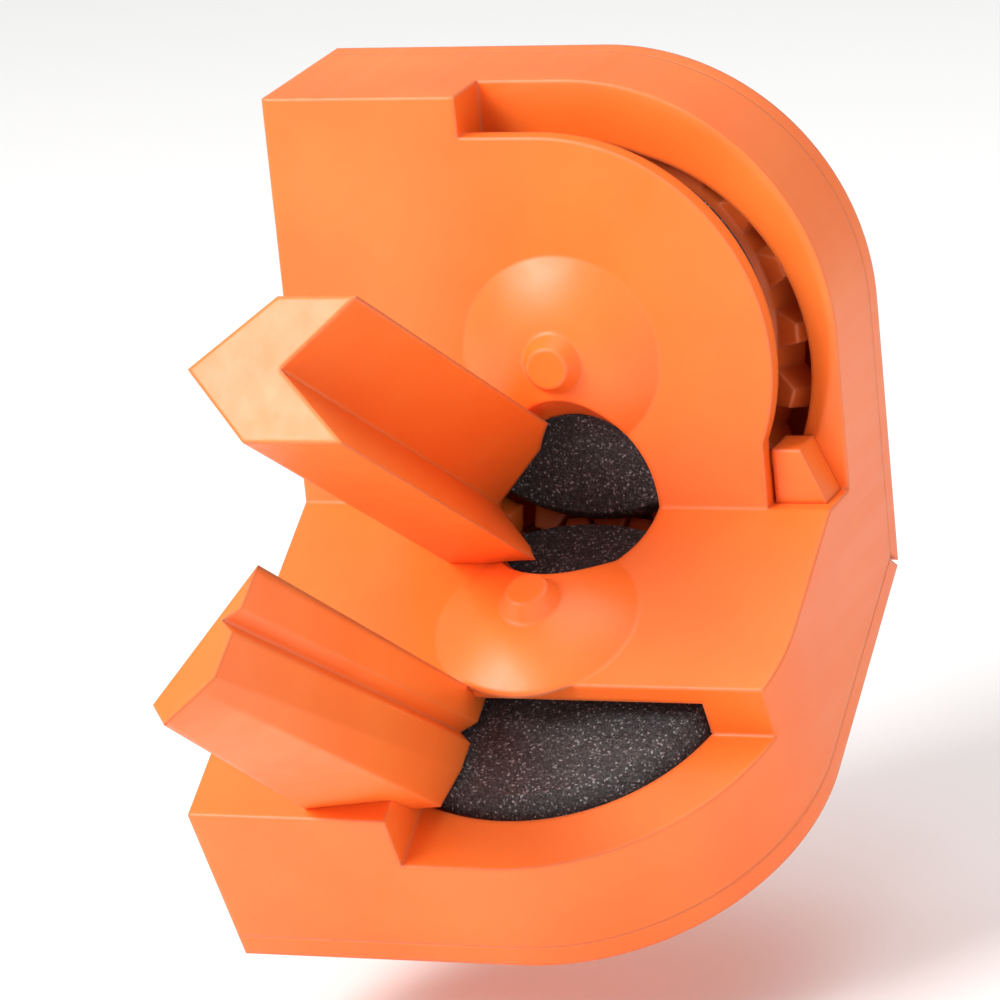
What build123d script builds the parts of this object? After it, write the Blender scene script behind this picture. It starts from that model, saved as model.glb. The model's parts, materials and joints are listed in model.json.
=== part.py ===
from build123d import *
import math
import os

os.makedirs("parts", exist_ok=True)

# Frame: origin on the drive axis at the chuck seat (rear face of the upper back cover),
# +X to the right, +Y back along the drive shank, +Z up. Millimetres.

# ---- driving dimensions ----
FOLD_ANGLE = 31.0          # half the angle between the faces' normals; the bits get a 118 degree point
AXIS_HEIGHT = 18.0         # from the crease to each wheel axis, along the face
OUTER_RADIUS = 30.5        # rounded outer end of each half, centred on its wheel axis
LEFT_X = -33.5             # flat left side
DEPTH = 24.0               # face to back
COVER_THICKNESS = 3.0      # flat back covers
PLATE = 2.5                # front plate thickness
WALL = 2.2                 # side wall thickness

STEP_X = -10.0             # left end of both dust troughs
RIDGE_DEPTH = 7.5          # troughs start this deep
DISC_COVER_RADIUS = 26.3   # plate that covers the upper wheel
DISC_COVER_CENTRE = (-1.3, -0.6)
DISC_COVER_RIGHT = 23.1    # straight right edge of that plate
SLOT_EDGE_DEPTH = 8.2      # lip of the upper dust slot
SLOT_CENTRE = (1.8, -2.8)
SLOT_RADIUS = 25.2
LOWER_STEP = 9.6           # edge of the lower trough, away from the crease
WINDOW_RADIUS = 23.4       # outer arc of the lower window
WINDOW_RIGHT = 22.7
WINDOW_UNDERCUT = 0.9      # the window starts this far behind the step
SLOT_BOTTOM = -14.0
RIDGE_WIDTH = 0.9
REACH = 80.0               # long enough to cut right through
WHEEL_CHAMBER_RADIUS = 23.2
GEAR_CHAMBER_RADIUS = 28.7
GEAR_CHAMBER_DEPTH = 9.0

BIT_HOLE_RADIUS = 10.1     # round window for large bits
BIT_HOLE_FRONT = 16.0
BIT_HOLE_BACK = 12.0
DOME_RADIUS = 11.8
DOME_HEIGHT = 3.5
PEG_BASE_RADIUS = 5.4      # at the face plane, inside the dome
PEG_TAPER = 30.0
PEG_TOP = 5.3              # height of the peg above the face

WHEEL_RADIUS = 21.2
RIM_FLARE = 1.2            # the rim widens with depth, following the fold
RIM_EASE = 0.4
WHEEL_DEPTH = 6.0
WHEEL_THICKNESS = 2.6
TEETH = 20
TOOTH_START = 10.0
TOOTH_END = 14.0
ADDENDUM = 0.6             # times the local module
DEDENDUM = 0.8
TOOTH_SHARE = 0.44         # tooth thickness over circular pitch
FLANK_SLOPE = math.tan(math.radians(20))

SHAFT_RADIUS = 3.0
SHANK_RADIUS = 4.0
JOURNAL_RADIUS = 4.5
SHANK_LENGTH = 25.0
RUNNING = 0.05             # radial running clearance
FRONT_BUSH_RADIUS = 4.6
FRONT_BUSH = (0.4, 3.4)    # start and end depth
BOSS_WALL = 1.6
REAR_BUSH_RADIUS = 6.5
REAR_BUSH_START = 18.6
BLIND_BUSH_END = 22.2
RING_START = 17.0
RING_THICKNESS = 0.8
RING_RADIUS = 5.4

TROUGH_HALF_WIDTH = 8.0    # large guide, half opening of its 90 degree groove
TROUGH_LIP_X = -1.4        # at the crease; the guide leans to the left from there
TROUGH_LEAN = 1.5
TROUGH_UPPER_X = -10.6     # outer edges of its V shaped back
TROUGH_LOWER_X = -12.9
TROUGH_OUTER_APEX_X = -20.2
TROUGH_LENGTH = 64.2

SMALL_START = 5.2          # inner end of the small guide, behind the lower face
SMALL_END = -54.0          # its front end, parallel to that face
SMALL_FACE_X = -5.6        # flat face with the bit groove
SMALL_GROOVE = 1.6
# at each end: top and corner of the flat face, then underside, foot and back, away from the crease
SMALL_INNER = (7.0, 18.0, (-6.6, 23.6), (-20.8, 25.6), (-20.8, 20.0))
SMALL_OUTER = (42.4, 58.0, (-6.6, 60.0), (-9.1, 64.6), (-11.2, 61.9))

POSTS = ((-28.4, 25.2), (-28.4, -18.5), (27.2, -19.4))
POST_RADIUS = 3.0
SCREW_RADIUS = 1.3
SCREW_HEAD_RADIUS = 2.4
SCREW_HEAD_HEIGHT = 1.6
SCREW_REACH = 12.0
HEAD_CLEARANCE = 0.2
DRIVE_LENGTH = 1.3
DRIVE_WIDTH = 0.7
DRIVE_DEPTH = 0.9
GUIDE_SCREW_X = -11.5
GUIDE_SCREW_HEIGHT = 6.0   # from the crease, along each face
GUIDE_SCREW_REACH = 4.0
COVER_GAP = 0.3            # half the gap between the back covers at the fold

LATCH_START = 2.0
LATCH_GAP = 0.4
LATCH_TOP = -11.6
LATCH_SHOULDER_X = 26.8

HUB_RADIUS = 6.0
HUB_FOOT = 3.0             # flat ring round the gear's hub
GEAR_WEB = 3.4             # gear thickness at that ring
GEAR_RIM = 1.6
TOOTH_ROOT = 0.5           # how far each tooth is sunk in the gear's rim
NUT_RADIUS = 4.6
NUT_START = 3.8
WASHER_START = 5.5
WASHER_RADIUS = 5.5
END_PLAY = 0.3
END_CHAMFER = 0.5

# ---- derived geometry ----
sin_fold = math.sin(math.radians(FOLD_ANGLE))
cos_fold = math.cos(math.radians(FOLD_ANGLE))
tan_fold = sin_fold / cos_fold
sin_double = math.sin(math.radians(2 * FOLD_ANGLE))
cos_double = math.cos(math.radians(2 * FOLD_ANGLE))
face_y = -DEPTH
crease = Vector(0, face_y, -AXIS_HEIGHT)
TOP = OUTER_RADIUS
fold = Plane(origin=crease, x_dir=(1, 0, 0), z_dir=(0, sin_fold, cos_fold))
# Prisms that guide a bit: x to the right, y across the fold, z forward out of the crease.
guide = Plane(origin=crease, x_dir=(1, 0, 0), z_dir=(0, -cos_fold, sin_fold))
# Axis seats: z goes into the housing from the face, at each wheel's axis.
upper_seat = Plane(origin=(0, face_y, 0), x_dir=(1, 0, 0), z_dir=(0, 1, 0))
# The large guide leans a little to the left of the fold.
trough = Plane(
    origin=crease,
    x_dir=(math.cos(math.radians(TROUGH_LEAN)), 0, 0),
    z_dir=(-math.tan(math.radians(TROUGH_LEAN)), -cos_fold, sin_fold),
)
lower_direction = Vector(0, -sin_double, -cos_double)
lower_seat = Plane(
    origin=crease + lower_direction * AXIS_HEIGHT,
    x_dir=(1, 0, 0),
    z_dir=(0, cos_double, -sin_double),
)


def face(depth):
    """Plane in the upper half at a depth behind its face: y up from the axis, z forward."""
    return Plane(origin=(0, face_y + depth, 0), x_dir=(1, 0, 0), z_dir=(0, -1, 0))


def lower_face(depth):
    """Plane in the lower half at a depth behind its face: y away from the crease, z into the housing."""
    return Plane(origin=lower_seat.origin + lower_seat.z_dir * depth, x_dir=(1, 0, 0), z_dir=lower_seat.z_dir)


def axial(seat):
    """Plane through a wheel's axis: x outward, y along the axis into the housing."""
    return Plane(origin=seat.origin, x_dir=seat.x_dir, z_dir=-seat.y_dir)


def turned(seat, outline):
    """Solid of revolution about a wheel's axis from (radius, depth) points."""
    with BuildPart() as body:
        with BuildSketch(axial(seat)):
            with BuildLine():
                Polyline(*outline, close=True)
            make_face()
        revolve(axis=Axis(seat.origin, seat.z_dir))
    return body.part


def half_outline(inset=0.0, low=-60.0):
    """Outline of one half, flat left and top sides and a round outer end."""
    left = LEFT_X + inset
    radius = OUTER_RADIUS - inset
    with BuildLine() as line:
        Line((left, low), (left, radius))
        Line((left, radius), (0, radius))
        CenterArc((0, 0), radius, 90, -90)
        Line((radius, 0), (radius, low))
        Line((radius, low), (left, low))
    return line.wires()[0]


# ---- housing ----
HOLLOW_WIDTH = STEP_X - WALL - (LEFT_X + WALL)
COVER_FACE = DEPTH - COVER_THICKNESS
with BuildPart() as upper_shell:
    with BuildSketch(face(COVER_FACE)):
        add(half_outline())
        make_face()
    extrude(amount=COVER_FACE)
    # hollow left end, wheel chamber and the wider gear chamber behind it
    with BuildSketch(face(COVER_FACE)):
        with Locations(((LEFT_X + STEP_X) / 2, TOP - WALL)):
            Rectangle(HOLLOW_WIDTH, REACH, align=(Align.CENTER, Align.MAX))
    extrude(amount=COVER_FACE - PLATE, mode=Mode.SUBTRACT)
    with BuildSketch(face(GEAR_CHAMBER_DEPTH)):
        Circle(WHEEL_CHAMBER_RADIUS)
    extrude(amount=GEAR_CHAMBER_DEPTH - PLATE, mode=Mode.SUBTRACT)
    with BuildSketch(face(COVER_FACE)):
        Circle(GEAR_CHAMBER_RADIUS)
    extrude(amount=COVER_FACE - GEAR_CHAMBER_DEPTH, mode=Mode.SUBTRACT)
    # boss behind the face for the front bush, and the screw posts
    with BuildSketch(face(FRONT_BUSH[1])):
        Circle(FRONT_BUSH_RADIUS + BOSS_WALL)
    extrude(amount=FRONT_BUSH[1])
    with BuildSketch(face(COVER_FACE)):
        with Locations(*POSTS):
            Circle(POST_RADIUS)
    extrude(amount=COVER_FACE)
    split(bisect_by=fold, keep=Keep.TOP)

with BuildPart() as upper_slope:
    # solid that cuts the sloping wall between the outer ridge and the slot's lip
    with BuildSketch(face(RIDGE_DEPTH)):
        Circle(OUTER_RADIUS - RIDGE_WIDTH)
    with BuildSketch(face(SLOT_EDGE_DEPTH)):
        with Locations(SLOT_CENTRE):
            Circle(SLOT_RADIUS)
    loft()
    with BuildSketch(face(GEAR_CHAMBER_DEPTH)):
        with Locations(SLOT_CENTRE):
            Circle(SLOT_RADIUS)
    extrude(amount=GEAR_CHAMBER_DEPTH - SLOT_EDGE_DEPTH)
    split(bisect_by=Plane.YZ.offset(STEP_X), keep=Keep.TOP)
    split(bisect_by=Plane.XY.offset(SLOT_BOTTOM), keep=Keep.TOP)

with BuildPart() as domes:
    # low dome and blunt peg in front of each wheel's axis
    with BuildSketch(axial(upper_seat)):
        with BuildLine():
            cap = ThreePointArc((-DOME_RADIUS, 0), (0, -DOME_HEIGHT), (DOME_RADIUS, 0))
            Polyline(cap @ 1, (DOME_RADIUS, PLATE / 2), (-DOME_RADIUS, PLATE / 2), cap @ 0)
        make_face()
        split(bisect_by=Plane.YZ, keep=Keep.TOP)
    revolve(axis=Axis(upper_seat.origin, upper_seat.z_dir))
    with BuildSketch(face(0)):
        Circle(PEG_BASE_RADIUS)
    extrude(amount=PEG_TOP, taper=PEG_TAPER)
    mirror(about=fold)

with BuildPart() as front_housing:
    add(upper_shell.part)
    mirror(about=fold)
    add(domes.part)
    # upper trough, open all round the plate that covers the wheel
    with BuildSketch(face(0)):
        with Locations((STEP_X, -AXIS_HEIGHT)):
            Rectangle(REACH, REACH, align=(Align.MIN, Align.MIN))
        with Locations(DISC_COVER_CENTRE):
            Circle(DISC_COVER_RADIUS, mode=Mode.SUBTRACT)
            Rectangle(REACH, DISC_COVER_RADIUS, align=(Align.MAX, Align.MIN), mode=Mode.SUBTRACT)
        with Locations((STEP_X, -AXIS_HEIGHT)):
            Rectangle(
                DISC_COVER_RIGHT - STEP_X, AXIS_HEIGHT, align=(Align.MIN, Align.MIN), mode=Mode.SUBTRACT
            )
    extrude(amount=-RIDGE_DEPTH, mode=Mode.SUBTRACT)
    with BuildSketch(face(PLATE)):
        Circle(OUTER_RADIUS - RIDGE_WIDTH)
        with Locations((STEP_X, SLOT_BOTTOM)):
            Rectangle(REACH, REACH, align=(Align.MIN, Align.MIN), mode=Mode.INTERSECT)
        Circle(FRONT_BUSH_RADIUS + BOSS_WALL, mode=Mode.SUBTRACT)
    extrude(amount=-(RIDGE_DEPTH - PLATE), mode=Mode.SUBTRACT)
    add(upper_slope.part, mode=Mode.SUBTRACT)
    # lower trough with its half round window
    with BuildSketch(lower_face(0)):
        with Locations((STEP_X, LOWER_STEP)):
            Rectangle(REACH, REACH, align=(Align.MIN, Align.MIN))
    extrude(amount=RIDGE_DEPTH, mode=Mode.SUBTRACT)
    with BuildSketch(lower_face(PLATE)):
        Circle(WINDOW_RADIUS)
        with Locations((STEP_X, LOWER_STEP - WINDOW_UNDERCUT)):
            Rectangle(WINDOW_RIGHT - STEP_X, REACH, align=(Align.MIN, Align.MIN), mode=Mode.INTERSECT)
    extrude(amount=GEAR_CHAMBER_DEPTH - PLATE, mode=Mode.SUBTRACT)
    # round window for large bits, along the fold
    with BuildSketch(guide.offset(BIT_HOLE_FRONT)):
        Circle(BIT_HOLE_RADIUS)
    extrude(amount=-BIT_HOLE_FRONT - BIT_HOLE_BACK, mode=Mode.SUBTRACT)
    # sockets for the front bushes, pilot holes for the cover and guide screws
    with BuildSketch(face(FRONT_BUSH[1])):
        Circle(FRONT_BUSH_RADIUS)
    extrude(amount=FRONT_BUSH[1] - FRONT_BUSH[0], mode=Mode.SUBTRACT)
    with BuildSketch(lower_face(FRONT_BUSH[0])):
        Circle(FRONT_BUSH_RADIUS)
    extrude(amount=FRONT_BUSH[1] - FRONT_BUSH[0], mode=Mode.SUBTRACT)
    with BuildSketch(face(COVER_FACE)):
        with Locations(*POSTS):
            Circle(SCREW_RADIUS)
    extrude(amount=SCREW_REACH, mode=Mode.SUBTRACT)
    with BuildSketch(lower_face(COVER_FACE)):
        with Locations(*POSTS):
            Circle(SCREW_RADIUS)
    extrude(amount=-SCREW_REACH, mode=Mode.SUBTRACT)
    for plane in (face(PLATE), lower_face(PLATE)):
        with BuildSketch(plane):
            with Locations((GUIDE_SCREW_X, -AXIS_HEIGHT + GUIDE_SCREW_HEIGHT)):
                Circle(SCREW_RADIUS)
        extrude(amount=PLATE, both=True, mode=Mode.SUBTRACT)

# ---- flat back covers, one for each half ----
def back_cover(name, bearing_hole):
    """Upper back cover; bearing_hole is the depth where its bush socket ends."""
    with BuildPart() as cover:
        with BuildSketch(face(DEPTH)):
            add(half_outline())
            make_face()
        extrude(amount=COVER_THICKNESS)
        split(bisect_by=fold.offset(COVER_GAP), keep=Keep.TOP)
        with BuildSketch(face(COVER_FACE)):
            Circle(REAR_BUSH_RADIUS + BOSS_WALL)
        extrude(amount=COVER_FACE - REAR_BUSH_START)
        with BuildSketch(face(bearing_hole)):
            Circle(REAR_BUSH_RADIUS)
        extrude(amount=bearing_hole - REAR_BUSH_START, mode=Mode.SUBTRACT)
        with BuildSketch(face(DEPTH)):
            with Locations(*POSTS):
                Circle(SCREW_RADIUS)
        extrude(amount=COVER_THICKNESS, mode=Mode.SUBTRACT)
        with BuildSketch(face(DEPTH)):
            with Locations(*POSTS):
                Circle(SCREW_HEAD_RADIUS + HEAD_CLEARANCE)
        extrude(amount=SCREW_HEAD_HEIGHT, mode=Mode.SUBTRACT)
    cover.part.label = name
    return cover.part


# ---- prisms that hold the bits ----
with BuildPart() as large_bit_guide:
    with BuildSketch(trough.offset(TROUGH_LENGTH)):
        with BuildLine():
            Polyline(
                (TROUGH_LIP_X, TROUGH_HALF_WIDTH),
                (TROUGH_LIP_X - TROUGH_HALF_WIDTH, 0),
                (TROUGH_LIP_X, -TROUGH_HALF_WIDTH),
                (TROUGH_LOWER_X, -TROUGH_HALF_WIDTH),
                (TROUGH_OUTER_APEX_X, 0),
                (TROUGH_UPPER_X, TROUGH_HALF_WIDTH),
                close=True,
            )
        make_face()
    extrude(amount=-REACH)
    split(bisect_by=upper_seat, keep=Keep.BOTTOM)
    split(bisect_by=lower_seat, keep=Keep.BOTTOM)
    add(domes.part, mode=Mode.SUBTRACT)
    for plane in (face(0), lower_face(0)):
        with BuildSketch(plane):
            with Locations((GUIDE_SCREW_X, -AXIS_HEIGHT + GUIDE_SCREW_HEIGHT)):
                Circle(SCREW_RADIUS)
        extrude(amount=GUIDE_SCREW_REACH, both=True, mode=Mode.SUBTRACT)

with BuildPart() as small_bit_guide:
    # tapers towards its front end, and both ends are parallel to the lower face
    for depth, (top, corner, under, foot, back) in ((SMALL_START, SMALL_INNER), (SMALL_END, SMALL_OUTER)):
        middle = (top + corner) / 2
        with BuildSketch(lower_face(depth)):
            with BuildLine():
                Polyline(
                    (SMALL_FACE_X, top),
                    (SMALL_FACE_X, middle - SMALL_GROOVE),
                    (SMALL_FACE_X - SMALL_GROOVE, middle),
                    (SMALL_FACE_X, middle + SMALL_GROOVE),
                    (SMALL_FACE_X, corner),
                    under,
                    foot,
                    back,
                    close=True,
                )
            make_face()
    loft(ruled=True)
    # it stands on the face left of the trough, and reaches into the trough beside the wheel
    with BuildSketch(lower_face(0)):
        with Locations((STEP_X, 0)):
            Rectangle(REACH, 2 * REACH, align=(Align.MAX, Align.CENTER))
    extrude(amount=2 * SMALL_START, mode=Mode.SUBTRACT)
    add(front_housing.part, mode=Mode.SUBTRACT)

with BuildPart() as slot_latch:
    # wedge that closes the lower end of the dust slot
    with BuildSketch(face(LATCH_START)):
        with BuildLine():
            Polyline(
                (DISC_COVER_RIGHT + LATCH_GAP, -AXIS_HEIGHT),
                (DISC_COVER_RIGHT + LATCH_GAP, LATCH_TOP),
                (LATCH_SHOULDER_X, LATCH_TOP),
                (OUTER_RADIUS - RIDGE_WIDTH, -AXIS_HEIGHT),
                close=True,
            )
        make_face()
    extrude(amount=LATCH_START - RIDGE_DEPTH)

# ---- wheels, gears and shafts ----
def grinding_wheel(seat):
    """Abrasive disc with a flared rim and an eased front edge."""
    back = WHEEL_DEPTH + WHEEL_THICKNESS
    return turned(
        seat,
        (
            (SHAFT_RADIUS, WHEEL_DEPTH),
            (WHEEL_RADIUS - RIM_EASE, WHEEL_DEPTH),
            (WHEEL_RADIUS, WHEEL_DEPTH + RIM_EASE),
            (WHEEL_RADIUS + RIM_FLARE, back),
            (SHAFT_RADIUS, back),
        ),
    )


def bevel_gear():
    """Straight bevel gear about +Z, its small end down, with its first tooth on +Y."""
    back = WHEEL_DEPTH + WHEEL_THICKNESS
    sections = []
    roots = []
    for depth in (TOOTH_START, TOOTH_END):
        pitch_radius = AXIS_HEIGHT + depth * tan_fold
        module = 2 * pitch_radius / TEETH
        low = DEDENDUM * module
        high = ADDENDUM * module
        half = TOOTH_SHARE * math.pi * module / 2
        sections.append((pitch_radius, depth, half, low, high))
        roots.append((pitch_radius - low * cos_fold, depth + low * sin_fold))
    outline = (
        (SHAFT_RADIUS, back),
        (WHEEL_RADIUS - GEAR_RIM, back),
        roots[0],
        roots[1],
        (roots[1][0] - GEAR_RIM, roots[1][1] + GEAR_RIM / 2),
        (roots[1][0] - 2 * GEAR_RIM, roots[1][1] - GEAR_RIM / 2),
        (HUB_RADIUS + HUB_FOOT, back + GEAR_WEB),
        (HUB_RADIUS, back + GEAR_WEB),
        (HUB_RADIUS, RING_START),
        (SHAFT_RADIUS, RING_START),
    )
    with BuildPart() as tooth:
        for pitch_radius, depth, half, low, high in sections:
            with BuildSketch(Plane((0, pitch_radius, depth), (1, 0, 0), (0, sin_fold, cos_fold))):
                root = half + low * FLANK_SLOPE
                tip = half - high * FLANK_SLOPE
                foot = -low - TOOTH_ROOT
                with BuildLine():
                    Polyline((-root, foot), (root, foot), (tip, high), (-tip, high), close=True)
                make_face()
        loft(ruled=True)
    with BuildPart() as gear:
        with BuildSketch(Plane.XZ):
            with BuildLine():
                Polyline(*outline, close=True)
            make_face()
        revolve(axis=Axis.Z)
        with PolarLocations(0, TEETH):
            add(tooth.part)
    return gear.part


def bush(seat, inner, outer, start, end):
    """Plain bearing sleeve."""
    return turned(seat, ((inner, start), (outer, start), (outer, end), (inner, end)))


def hex_nut(seat, start, end):
    """Thin hexagon nut on the shaft's front end."""
    with BuildPart() as nut:
        with BuildSketch(seat.offset(start)):
            RegularPolygon(NUT_RADIUS, 6)
            Circle(SHAFT_RADIUS, mode=Mode.SUBTRACT)
        extrude(amount=end - start)
    return nut.part


def screws(plane, places, reach, head_sign):
    """Pan head screws standing on one plane; the shank runs the other way from the head."""
    with BuildPart() as group:
        with BuildSketch(plane):
            with Locations(*places):
                Circle(SCREW_HEAD_RADIUS)
        extrude(amount=head_sign * SCREW_HEAD_HEIGHT)
        with BuildSketch(plane):
            with Locations(*places):
                Circle(SCREW_RADIUS)
        extrude(amount=-head_sign * reach)
        with BuildSketch(plane.offset(head_sign * SCREW_HEAD_HEIGHT)):
            with Locations(*places):
                Rectangle(2 * DRIVE_LENGTH, DRIVE_WIDTH)
                Rectangle(DRIVE_WIDTH, 2 * DRIVE_LENGTH)
        extrude(amount=-head_sign * DRIVE_DEPTH, mode=Mode.SUBTRACT)
    return group.part


pieces = {
    "front_housing": front_housing.part,
    "large_bit_guide": large_bit_guide.part,
    "small_bit_guide": small_bit_guide.part,
    "slot_latch": slot_latch.part,
    "upper_back_cover": back_cover("upper_back_cover", DEPTH),
    "lower_back_cover": back_cover("lower_back_cover", BLIND_BUSH_END).mirror(fold),
}
head_plane_depth = DEPTH - SCREW_HEAD_HEIGHT
cover_reach = SCREW_REACH - SCREW_HEAD_HEIGHT
pieces["upper_cover_screws"] = screws(face(head_plane_depth), POSTS, cover_reach, -1)
pieces["lower_cover_screws"] = screws(lower_face(head_plane_depth), POSTS, cover_reach, 1)
guide_place = ((GUIDE_SCREW_X, -AXIS_HEIGHT + GUIDE_SCREW_HEIGHT),)
pieces["upper_guide_screw"] = screws(face(PLATE), guide_place, PLATE + GUIDE_SCREW_REACH, -1)
pieces["lower_guide_screw"] = screws(lower_face(PLATE), guide_place, PLATE + GUIDE_SCREW_REACH, 1)

for side, seat, first_angle, rear_end in (
    ("upper", upper_seat, 0, DEPTH),
    ("lower", lower_seat, 180 / TEETH, BLIND_BUSH_END),
):
    pieces[side + "_grinding_wheel"] = grinding_wheel(seat)
    gear_place = Location(seat) * Location((0, 0, 0), (0, 0, 1), first_angle)
    pieces[side + "_bevel_gear"] = bevel_gear().moved(gear_place)
    pieces[side + "_front_bush"] = bush(seat, SHAFT_RADIUS + RUNNING, FRONT_BUSH_RADIUS, *FRONT_BUSH)
    pieces[side + "_rear_bush"] = bush(
        seat, JOURNAL_RADIUS + RUNNING, REAR_BUSH_RADIUS, REAR_BUSH_START, rear_end
    )
    pieces[side + "_wheel_washer"] = bush(seat, SHAFT_RADIUS, WASHER_RADIUS, WASHER_START, WHEEL_DEPTH)
    pieces[side + "_wheel_nut"] = hex_nut(seat, NUT_START, WASHER_START)
    pieces[side + "_retaining_ring"] = bush(
        seat, SHAFT_RADIUS, RING_RADIUS, RING_START, RING_START + RING_THICKNESS
    )

SHOULDER = RING_START + RING_THICKNESS
shaft_front = FRONT_BUSH[0] + END_PLAY
front_end = (
    (0, shaft_front),
    (SHAFT_RADIUS - END_CHAMFER, shaft_front),
    (SHAFT_RADIUS, shaft_front + END_CHAMFER),
    (SHAFT_RADIUS, SHOULDER),
    (JOURNAL_RADIUS, SHOULDER),
)
shank_end = DEPTH + SHANK_LENGTH
shank = (
    (JOURNAL_RADIUS, DEPTH),
    (SHANK_RADIUS, DEPTH),
    (SHANK_RADIUS, shank_end - END_CHAMFER),
    (SHANK_RADIUS - END_CHAMFER, shank_end),
    (0, shank_end),
)
axle_end = BLIND_BUSH_END - END_PLAY
pieces["drive_shaft"] = turned(upper_seat, front_end + shank)
pieces["lower_axle"] = turned(lower_seat, front_end + ((JOURNAL_RADIUS, axle_end), (0, axle_end)))

for name, piece in pieces.items():
    piece.label = name
    export_step(piece, "parts/" + name + ".step")
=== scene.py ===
import json
import math

import bpy
from mathutils import Matrix, Vector


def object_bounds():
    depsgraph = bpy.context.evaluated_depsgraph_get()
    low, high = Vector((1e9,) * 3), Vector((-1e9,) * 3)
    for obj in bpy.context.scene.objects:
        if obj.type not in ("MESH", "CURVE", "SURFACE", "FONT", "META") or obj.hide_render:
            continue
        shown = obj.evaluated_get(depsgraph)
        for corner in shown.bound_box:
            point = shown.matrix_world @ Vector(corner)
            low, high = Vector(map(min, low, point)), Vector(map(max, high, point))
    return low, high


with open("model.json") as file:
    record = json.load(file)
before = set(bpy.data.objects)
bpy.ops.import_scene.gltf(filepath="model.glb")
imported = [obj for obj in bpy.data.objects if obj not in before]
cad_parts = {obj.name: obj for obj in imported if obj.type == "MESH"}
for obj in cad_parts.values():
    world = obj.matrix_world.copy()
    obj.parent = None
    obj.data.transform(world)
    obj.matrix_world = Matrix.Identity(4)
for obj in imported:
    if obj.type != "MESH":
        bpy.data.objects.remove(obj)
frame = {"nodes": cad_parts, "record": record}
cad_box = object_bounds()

nodes = frame["nodes"]
low, high = (Vector(corner) for corner in cad_box)

# ---- view, in the frame's metres ----
VIEW_AZIMUTH = math.radians(21.41)
VIEW_ELEVATION = math.radians(17.17)
VIEW_ROLL = math.radians(-5.76)
VIEW_TARGET = Vector((-0.01291, -0.01473, -0.02049))
VIEW_DISTANCE = 0.6901
LENS = 212.1
SENSOR_WIDTH = 36
CLIP_START = 0.01

MM = 0.001

# ---- stage and lights ----
FLOOR_SIZE = 6.0
FLOOR_GAP = 12 * MM              # floor below the object's lowest point
FLOOR_COLOUR = (0.93, 0.93, 0.93, 1)
FLOOR_ROUGHNESS = 0.9
SURROUND_COLOUR = (1.0, 1.0, 1.0, 1)
SURROUND_STRENGTH = 0.5
# name, direction from the object, distance, width and height, watts, colour
LIGHTS = (
    ("key", (-0.55, -0.75, 0.75), 0.9, (0.45, 0.45), 9.5, (1.0, 0.985, 0.96)),
    ("fill", (1.0, -0.55, 0.15), 1.0, (0.8, 0.8), 2.0, (0.97, 0.985, 1.0)),
    ("top", (0.1, 0.1, 1.0), 0.9, (0.7, 0.7), 3.2, (1.0, 1.0, 1.0)),
)


def view_axes():
    """Right, up and backward directions of the camera."""
    back = Vector((
        math.sin(VIEW_AZIMUTH) * math.cos(VIEW_ELEVATION),
        -math.cos(VIEW_AZIMUTH) * math.cos(VIEW_ELEVATION),
        math.sin(VIEW_ELEVATION),
    ))
    level = Vector((math.cos(VIEW_AZIMUTH), math.sin(VIEW_AZIMUTH), 0))
    upright = level.cross(-back)
    right = level * math.cos(VIEW_ROLL) + upright * math.sin(VIEW_ROLL)
    up = upright * math.cos(VIEW_ROLL) - level * math.sin(VIEW_ROLL)
    return right, up, back


def add_camera():
    """Long lens camera, above and to the right of the faces, slightly rolled."""
    right, up, back = view_axes()
    data = bpy.data.cameras.new("camera")
    data.lens = LENS
    data.sensor_width = SENSOR_WIDTH
    data.clip_start = CLIP_START
    camera = bpy.data.objects.new("camera", data)
    place = Matrix((right, up, back)).transposed().to_4x4()
    place.translation = VIEW_TARGET + back * VIEW_DISTANCE
    camera.matrix_world = place
    bpy.context.scene.collection.objects.link(camera)
    bpy.context.scene.camera = camera


def add_area_light(name, direction, distance, size, power, colour):
    """Soft rectangular lamp aimed at the object's middle."""
    aim = (low + high) / 2
    data = bpy.data.lights.new(name, "AREA")
    data.shape = "RECTANGLE"
    data.size = size[0]
    data.size_y = size[1]
    data.energy = power
    data.color = colour
    lamp = bpy.data.objects.new(name, data)
    heading = Vector(direction).normalized()
    lamp.location = aim + heading * distance
    lamp.rotation_euler = heading.to_track_quat("Z", "Y").to_euler()
    bpy.context.scene.collection.objects.link(lamp)


def add_stage():
    """Plain pale floor below the object, and an even pale surround."""
    mesh = bpy.data.meshes.new("floor")
    half = FLOOR_SIZE / 2
    level = low.z - FLOOR_GAP
    corners = [(-half, -half, level), (half, -half, level), (half, half, level), (-half, half, level)]
    mesh.from_pydata(corners, [], [(0, 1, 2, 3)])
    floor = bpy.data.objects.new("floor", mesh)
    bpy.context.scene.collection.objects.link(floor)
    material = bpy.data.materials.new("floor_paper")
    material.use_nodes = True
    shader = material.node_tree.nodes["Principled BSDF"]
    shader.inputs["Base Color"].default_value = FLOOR_COLOUR
    shader.inputs["Roughness"].default_value = FLOOR_ROUGHNESS
    mesh.materials.append(material)
    world = bpy.data.worlds.new("surround")
    world.use_nodes = True
    background = world.node_tree.nodes["Background"]
    background.inputs["Color"].default_value = SURROUND_COLOUR
    background.inputs["Strength"].default_value = SURROUND_STRENGTH
    bpy.context.scene.world = world


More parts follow.
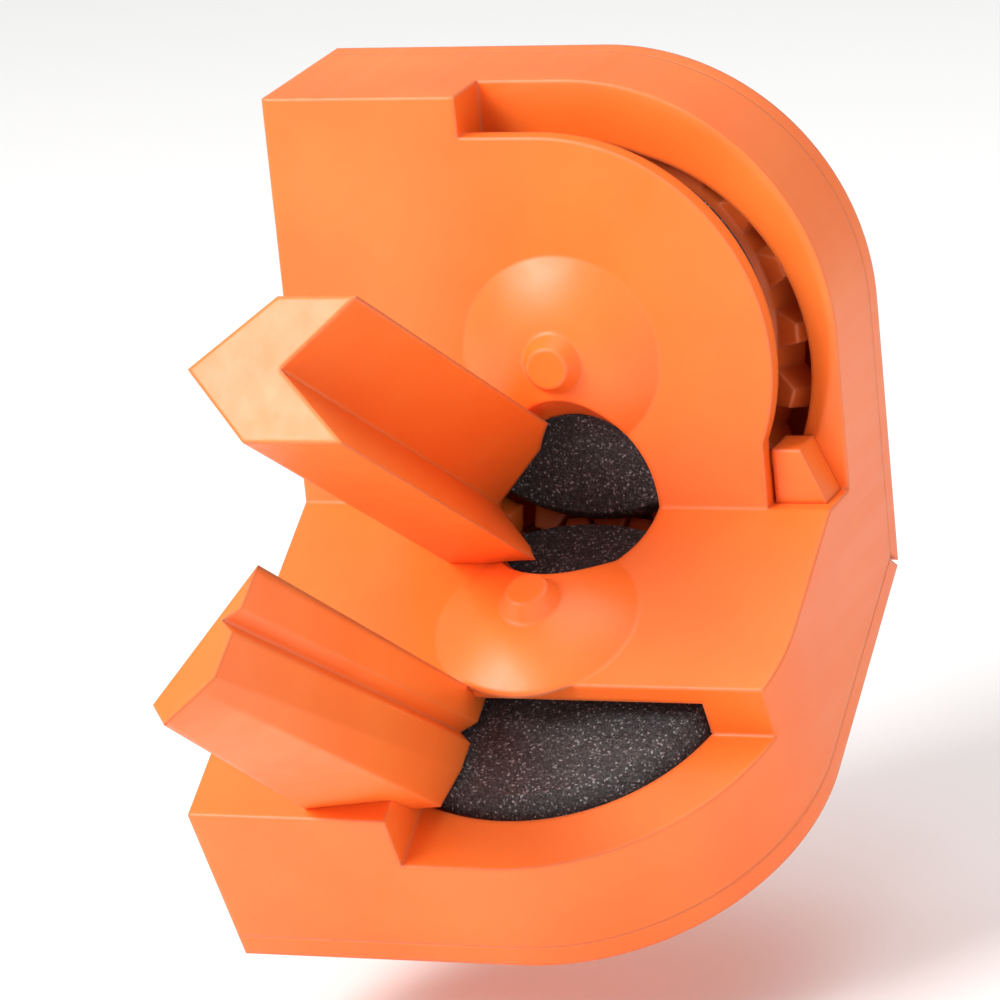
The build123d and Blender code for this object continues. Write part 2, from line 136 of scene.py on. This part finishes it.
# ---- materials; noise scales are in features per metre ----
CLOUD_SCALE = 38.0               # broad changes of tint in the plastic
SWIRL_SCALE = 160.0
SCRATCH_SCALE = 420.0
SCRATCH_STRETCH = (1.0, 0.05, 1.0)
WEAR_SCALE = 900.0
GRAIN_SCALE = 5200.0
EDGE_WIDTH = 0.55 * MM
EDGE_TURN = (0.80, 0.985)        # how far the rounded normal leaves the face's, full and none
WEAR_RANGE = (0.05, 0.45)
PLASTIC_ROUGHNESS = (0.30, 0.50)
SCATTER_WEIGHT = 0.12
SCATTER_RADIUS = (1.0, 0.25, 0.08)
SCATTER_SCALE = 2.2 * MM
MOULD_EDGE = 0.8 * MM

GRIT_SCALE = 4600.0
LUMP_SCALE = 900.0
GRIT_ROUGHNESS = (0.35, 0.85)
GRIT_SHADES = (
    (0.0, (0.018, 0.017, 0.019, 1)),
    (0.60, (0.045, 0.043, 0.045, 1)),
    (0.90, (0.095, 0.09, 0.095, 1)),
    (1.0, (0.38, 0.37, 0.38, 1)),
)

SMEAR_SCALE = 240.0
LINE_SCALE = 300.0
LINE_STRETCH = (0.02, 12.0, 0.02)
STEEL_EDGE = 0.2 * MM
DARK_SHARE = 0.72                # darker tone of the smeared metal


class Recipe:
    """Small helper that adds and links shader nodes."""

    def __init__(self, name):
        self.material = bpy.data.materials.new(name)
        self.material.use_nodes = True
        self.tree = self.material.node_tree
        self.shader = self.tree.nodes["Principled BSDF"]

    def add(self, kind, **values):
        node = self.tree.nodes.new(kind)
        for key, value in values.items():
            if key in node.inputs:
                node.inputs[key].default_value = value
            else:
                setattr(node, key.lower(), value)
        return node

    def link(self, source, target):
        self.tree.links.new(source, target)

    def noise(self, scale, detail=3.0, stretch=(1, 1, 1)):
        """Object-space noise value; scale counts features per metre."""
        where = self.add("ShaderNodeTexCoord")
        mapping = self.add("ShaderNodeMapping")
        mapping.inputs["Scale"].default_value = stretch
        self.link(where.outputs["Object"], mapping.inputs["Vector"])
        noise = self.add("ShaderNodeTexNoise", Scale=scale, Detail=detail)
        self.link(mapping.outputs["Vector"], noise.inputs["Vector"])
        return noise.outputs["Fac"]

    def ramp(self, value, stops):
        """Colour ramp from (position, colour) stops."""
        ramp = self.add("ShaderNodeValToRGB")
        elements = ramp.color_ramp.elements
        elements[0].position, elements[0].color = stops[0]
        elements[1].position, elements[1].color = stops[-1]
        for position, colour in stops[1:-1]:
            element = elements.new(position)
            element.color = colour
        self.link(value, ramp.inputs["Fac"])
        return ramp.outputs["Color"]

    def mix(self, factor, first, second):
        mix = self.add("ShaderNodeMix", data_type="RGBA")
        self.link(factor, mix.inputs["Factor"])
        for value, socket in ((first, mix.inputs["A"]), (second, mix.inputs["B"])):
            if isinstance(value, tuple):
                socket.default_value = value
            else:
                self.link(value, socket)
        return mix.outputs["Result"]

    def spread(self, value, lowest, highest):
        """Maps 0..1 to lowest..highest."""
        node = self.add("ShaderNodeMapRange")
        node.inputs["To Min"].default_value = lowest
        node.inputs["To Max"].default_value = highest
        self.link(value, node.inputs["Value"])
        return node.outputs["Result"]

    def edges(self, radius, low_turn, high_turn):
        """1 along sharp edges and 0 on flat faces."""
        bevel = self.add("ShaderNodeBevel", Radius=radius)
        bevel.samples = 6
        geometry = self.add("ShaderNodeNewGeometry")
        turn = self.add("ShaderNodeVectorMath", operation="DOT_PRODUCT")
        self.link(bevel.outputs["Normal"], turn.inputs[0])
        self.link(geometry.outputs["Normal"], turn.inputs[1])
        band = self.add("ShaderNodeMapRange")
        band.inputs["From Min"].default_value = high_turn
        band.inputs["From Max"].default_value = low_turn
        self.link(turn.outputs["Value"], band.inputs["Value"])
        return band.outputs["Result"]

    def bumps(self, heights, round_edges=0.0):
        """Chains bump nodes from (height socket, distance, strength), on rounded edges if asked."""
        normal = None
        if round_edges:
            bevel = self.add("ShaderNodeBevel", Radius=round_edges)
            bevel.samples = 8
            normal = bevel.outputs["Normal"]
        for height, distance, strength in heights:
            bump = self.add("ShaderNodeBump", Distance=distance, Strength=strength)
            self.link(height, bump.inputs["Height"])
            if normal is not None:
                self.link(normal, bump.inputs["Normal"])
            normal = bump.outputs["Normal"]
        self.link(normal, self.shader.inputs["Normal"])


def moulded_plastic(name, deep, pale, grain=1.0):
    """Satin orange plastic, slightly translucent, with fine mould texture and paler worn edges."""
    recipe = Recipe(name)
    shader = recipe.shader
    cloud = recipe.noise(CLOUD_SCALE, 4.0)
    tint = recipe.ramp(cloud, [(0.30, deep), (0.72, pale)])
    wear_break = recipe.noise(WEAR_SCALE, 2.0)
    edge = recipe.edges(EDGE_WIDTH, *EDGE_TURN)
    worn = recipe.add("ShaderNodeMath", operation="MULTIPLY")
    recipe.link(edge, worn.inputs[0])
    recipe.link(recipe.spread(wear_break, *WEAR_RANGE), worn.inputs[1])
    lighter = tuple(min(1.0, channel * 0.75 + 0.22) for channel in pale[:3]) + (1,)
    colour = recipe.mix(worn.outputs[0], tint, lighter)
    recipe.link(colour, shader.inputs["Base Color"])
    scratches = recipe.noise(SCRATCH_SCALE, 6.0, SCRATCH_STRETCH)
    recipe.link(recipe.spread(scratches, *PLASTIC_ROUGHNESS), shader.inputs["Roughness"])
    shader.inputs["Subsurface Weight"].default_value = SCATTER_WEIGHT
    shader.inputs["Subsurface Radius"].default_value = SCATTER_RADIUS
    shader.inputs["Subsurface Scale"].default_value = SCATTER_SCALE
    shader.inputs["Specular IOR Level"].default_value = 0.5
    fine = recipe.noise(GRAIN_SCALE, 2.0)
    swirl = recipe.noise(SWIRL_SCALE, 3.0)
    recipe.bumps(
        [(swirl, 0.05 * MM, 0.25), (scratches, 0.02 * MM, 0.25), (fine, 0.012 * MM * grain, 0.35)],
        round_edges=MOULD_EDGE,
    )
    return recipe.material


def abrasive_grit(name):
    """Dark bonded grit with pale glinting grains."""
    recipe = Recipe(name)
    shader = recipe.shader
    where = recipe.add("ShaderNodeTexCoord")
    grains = recipe.add("ShaderNodeTexVoronoi", Scale=GRIT_SCALE)
    recipe.link(where.outputs["Object"], grains.inputs["Vector"])
    shade = recipe.add("ShaderNodeSeparateColor")
    recipe.link(grains.outputs["Color"], shade.inputs["Color"])
    base = recipe.ramp(shade.outputs["Red"], GRIT_SHADES)
    recipe.link(base, shader.inputs["Base Color"])
    recipe.link(recipe.spread(shade.outputs["Green"], *GRIT_ROUGHNESS), shader.inputs["Roughness"])
    lumps = recipe.noise(LUMP_SCALE, 4.0)
    recipe.bumps([(grains.outputs["Distance"], 0.12 * MM, 0.9), (lumps, 0.1 * MM, 0.5)])
    return recipe.material


def turned_steel(name, colour, roughness):
    """Machined steel with fine turning lines and a little wear."""
    recipe = Recipe(name)
    shader = recipe.shader
    shader.inputs["Metallic"].default_value = 1.0
    smear = recipe.noise(SMEAR_SCALE, 4.0)
    dark = tuple(DARK_SHARE * channel for channel in colour[:3]) + (1,)
    recipe.link(recipe.ramp(smear, [(0.3, dark), (0.7, colour)]), shader.inputs["Base Color"])
    lines = recipe.noise(LINE_SCALE, 3.0, LINE_STRETCH)
    recipe.link(recipe.spread(lines, roughness - 0.08, roughness + 0.12), shader.inputs["Roughness"])
    recipe.bumps([(lines, 0.01 * MM, 0.4)], round_edges=STEEL_EDGE)
    return recipe.material


ORANGE_DEEP = (0.92, 0.145, 0.012, 1)
ORANGE_PALE = (0.96, 0.20, 0.030, 1)
materials = {
    "orange_plastic": moulded_plastic("orange_plastic", ORANGE_DEEP, ORANGE_PALE),
    "guide_plastic": moulded_plastic("guide_plastic", ORANGE_DEEP, ORANGE_PALE, grain=2.0),
    # gear plastic is a darker copy of the orange plastic: painted shade for the gear set deep inside
    # the housing
    "gear_plastic": moulded_plastic("gear_plastic", (0.72, 0.12, 0.02, 1), (0.86, 0.17, 0.03, 1)),
    "abrasive": abrasive_grit("abrasive"),
    "shaft_steel": turned_steel("shaft_steel", (0.62, 0.62, 0.63, 1), 0.28),
    "screw_steel": turned_steel("screw_steel", (0.55, 0.55, 0.57, 1), 0.36),
    "bronze": turned_steel("bronze", (0.62, 0.40, 0.18, 1), 0.42),
}


def dress_nodes():
    """Gives every CAD node the material of its slot in the record."""
    for entry in frame["record"]["subparts"]:
        shape = nodes[entry["node"]]
        for index in range(len(shape.material_slots)):
            shape.material_slots[index].link = "OBJECT"
            shape.material_slots[index].material = materials[entry["material_slot"]]


dress_nodes()
add_camera()
add_stage()
for light in LIGHTS:
    add_area_light(*light)
bpy.context.scene.view_settings.view_transform = "Standard"
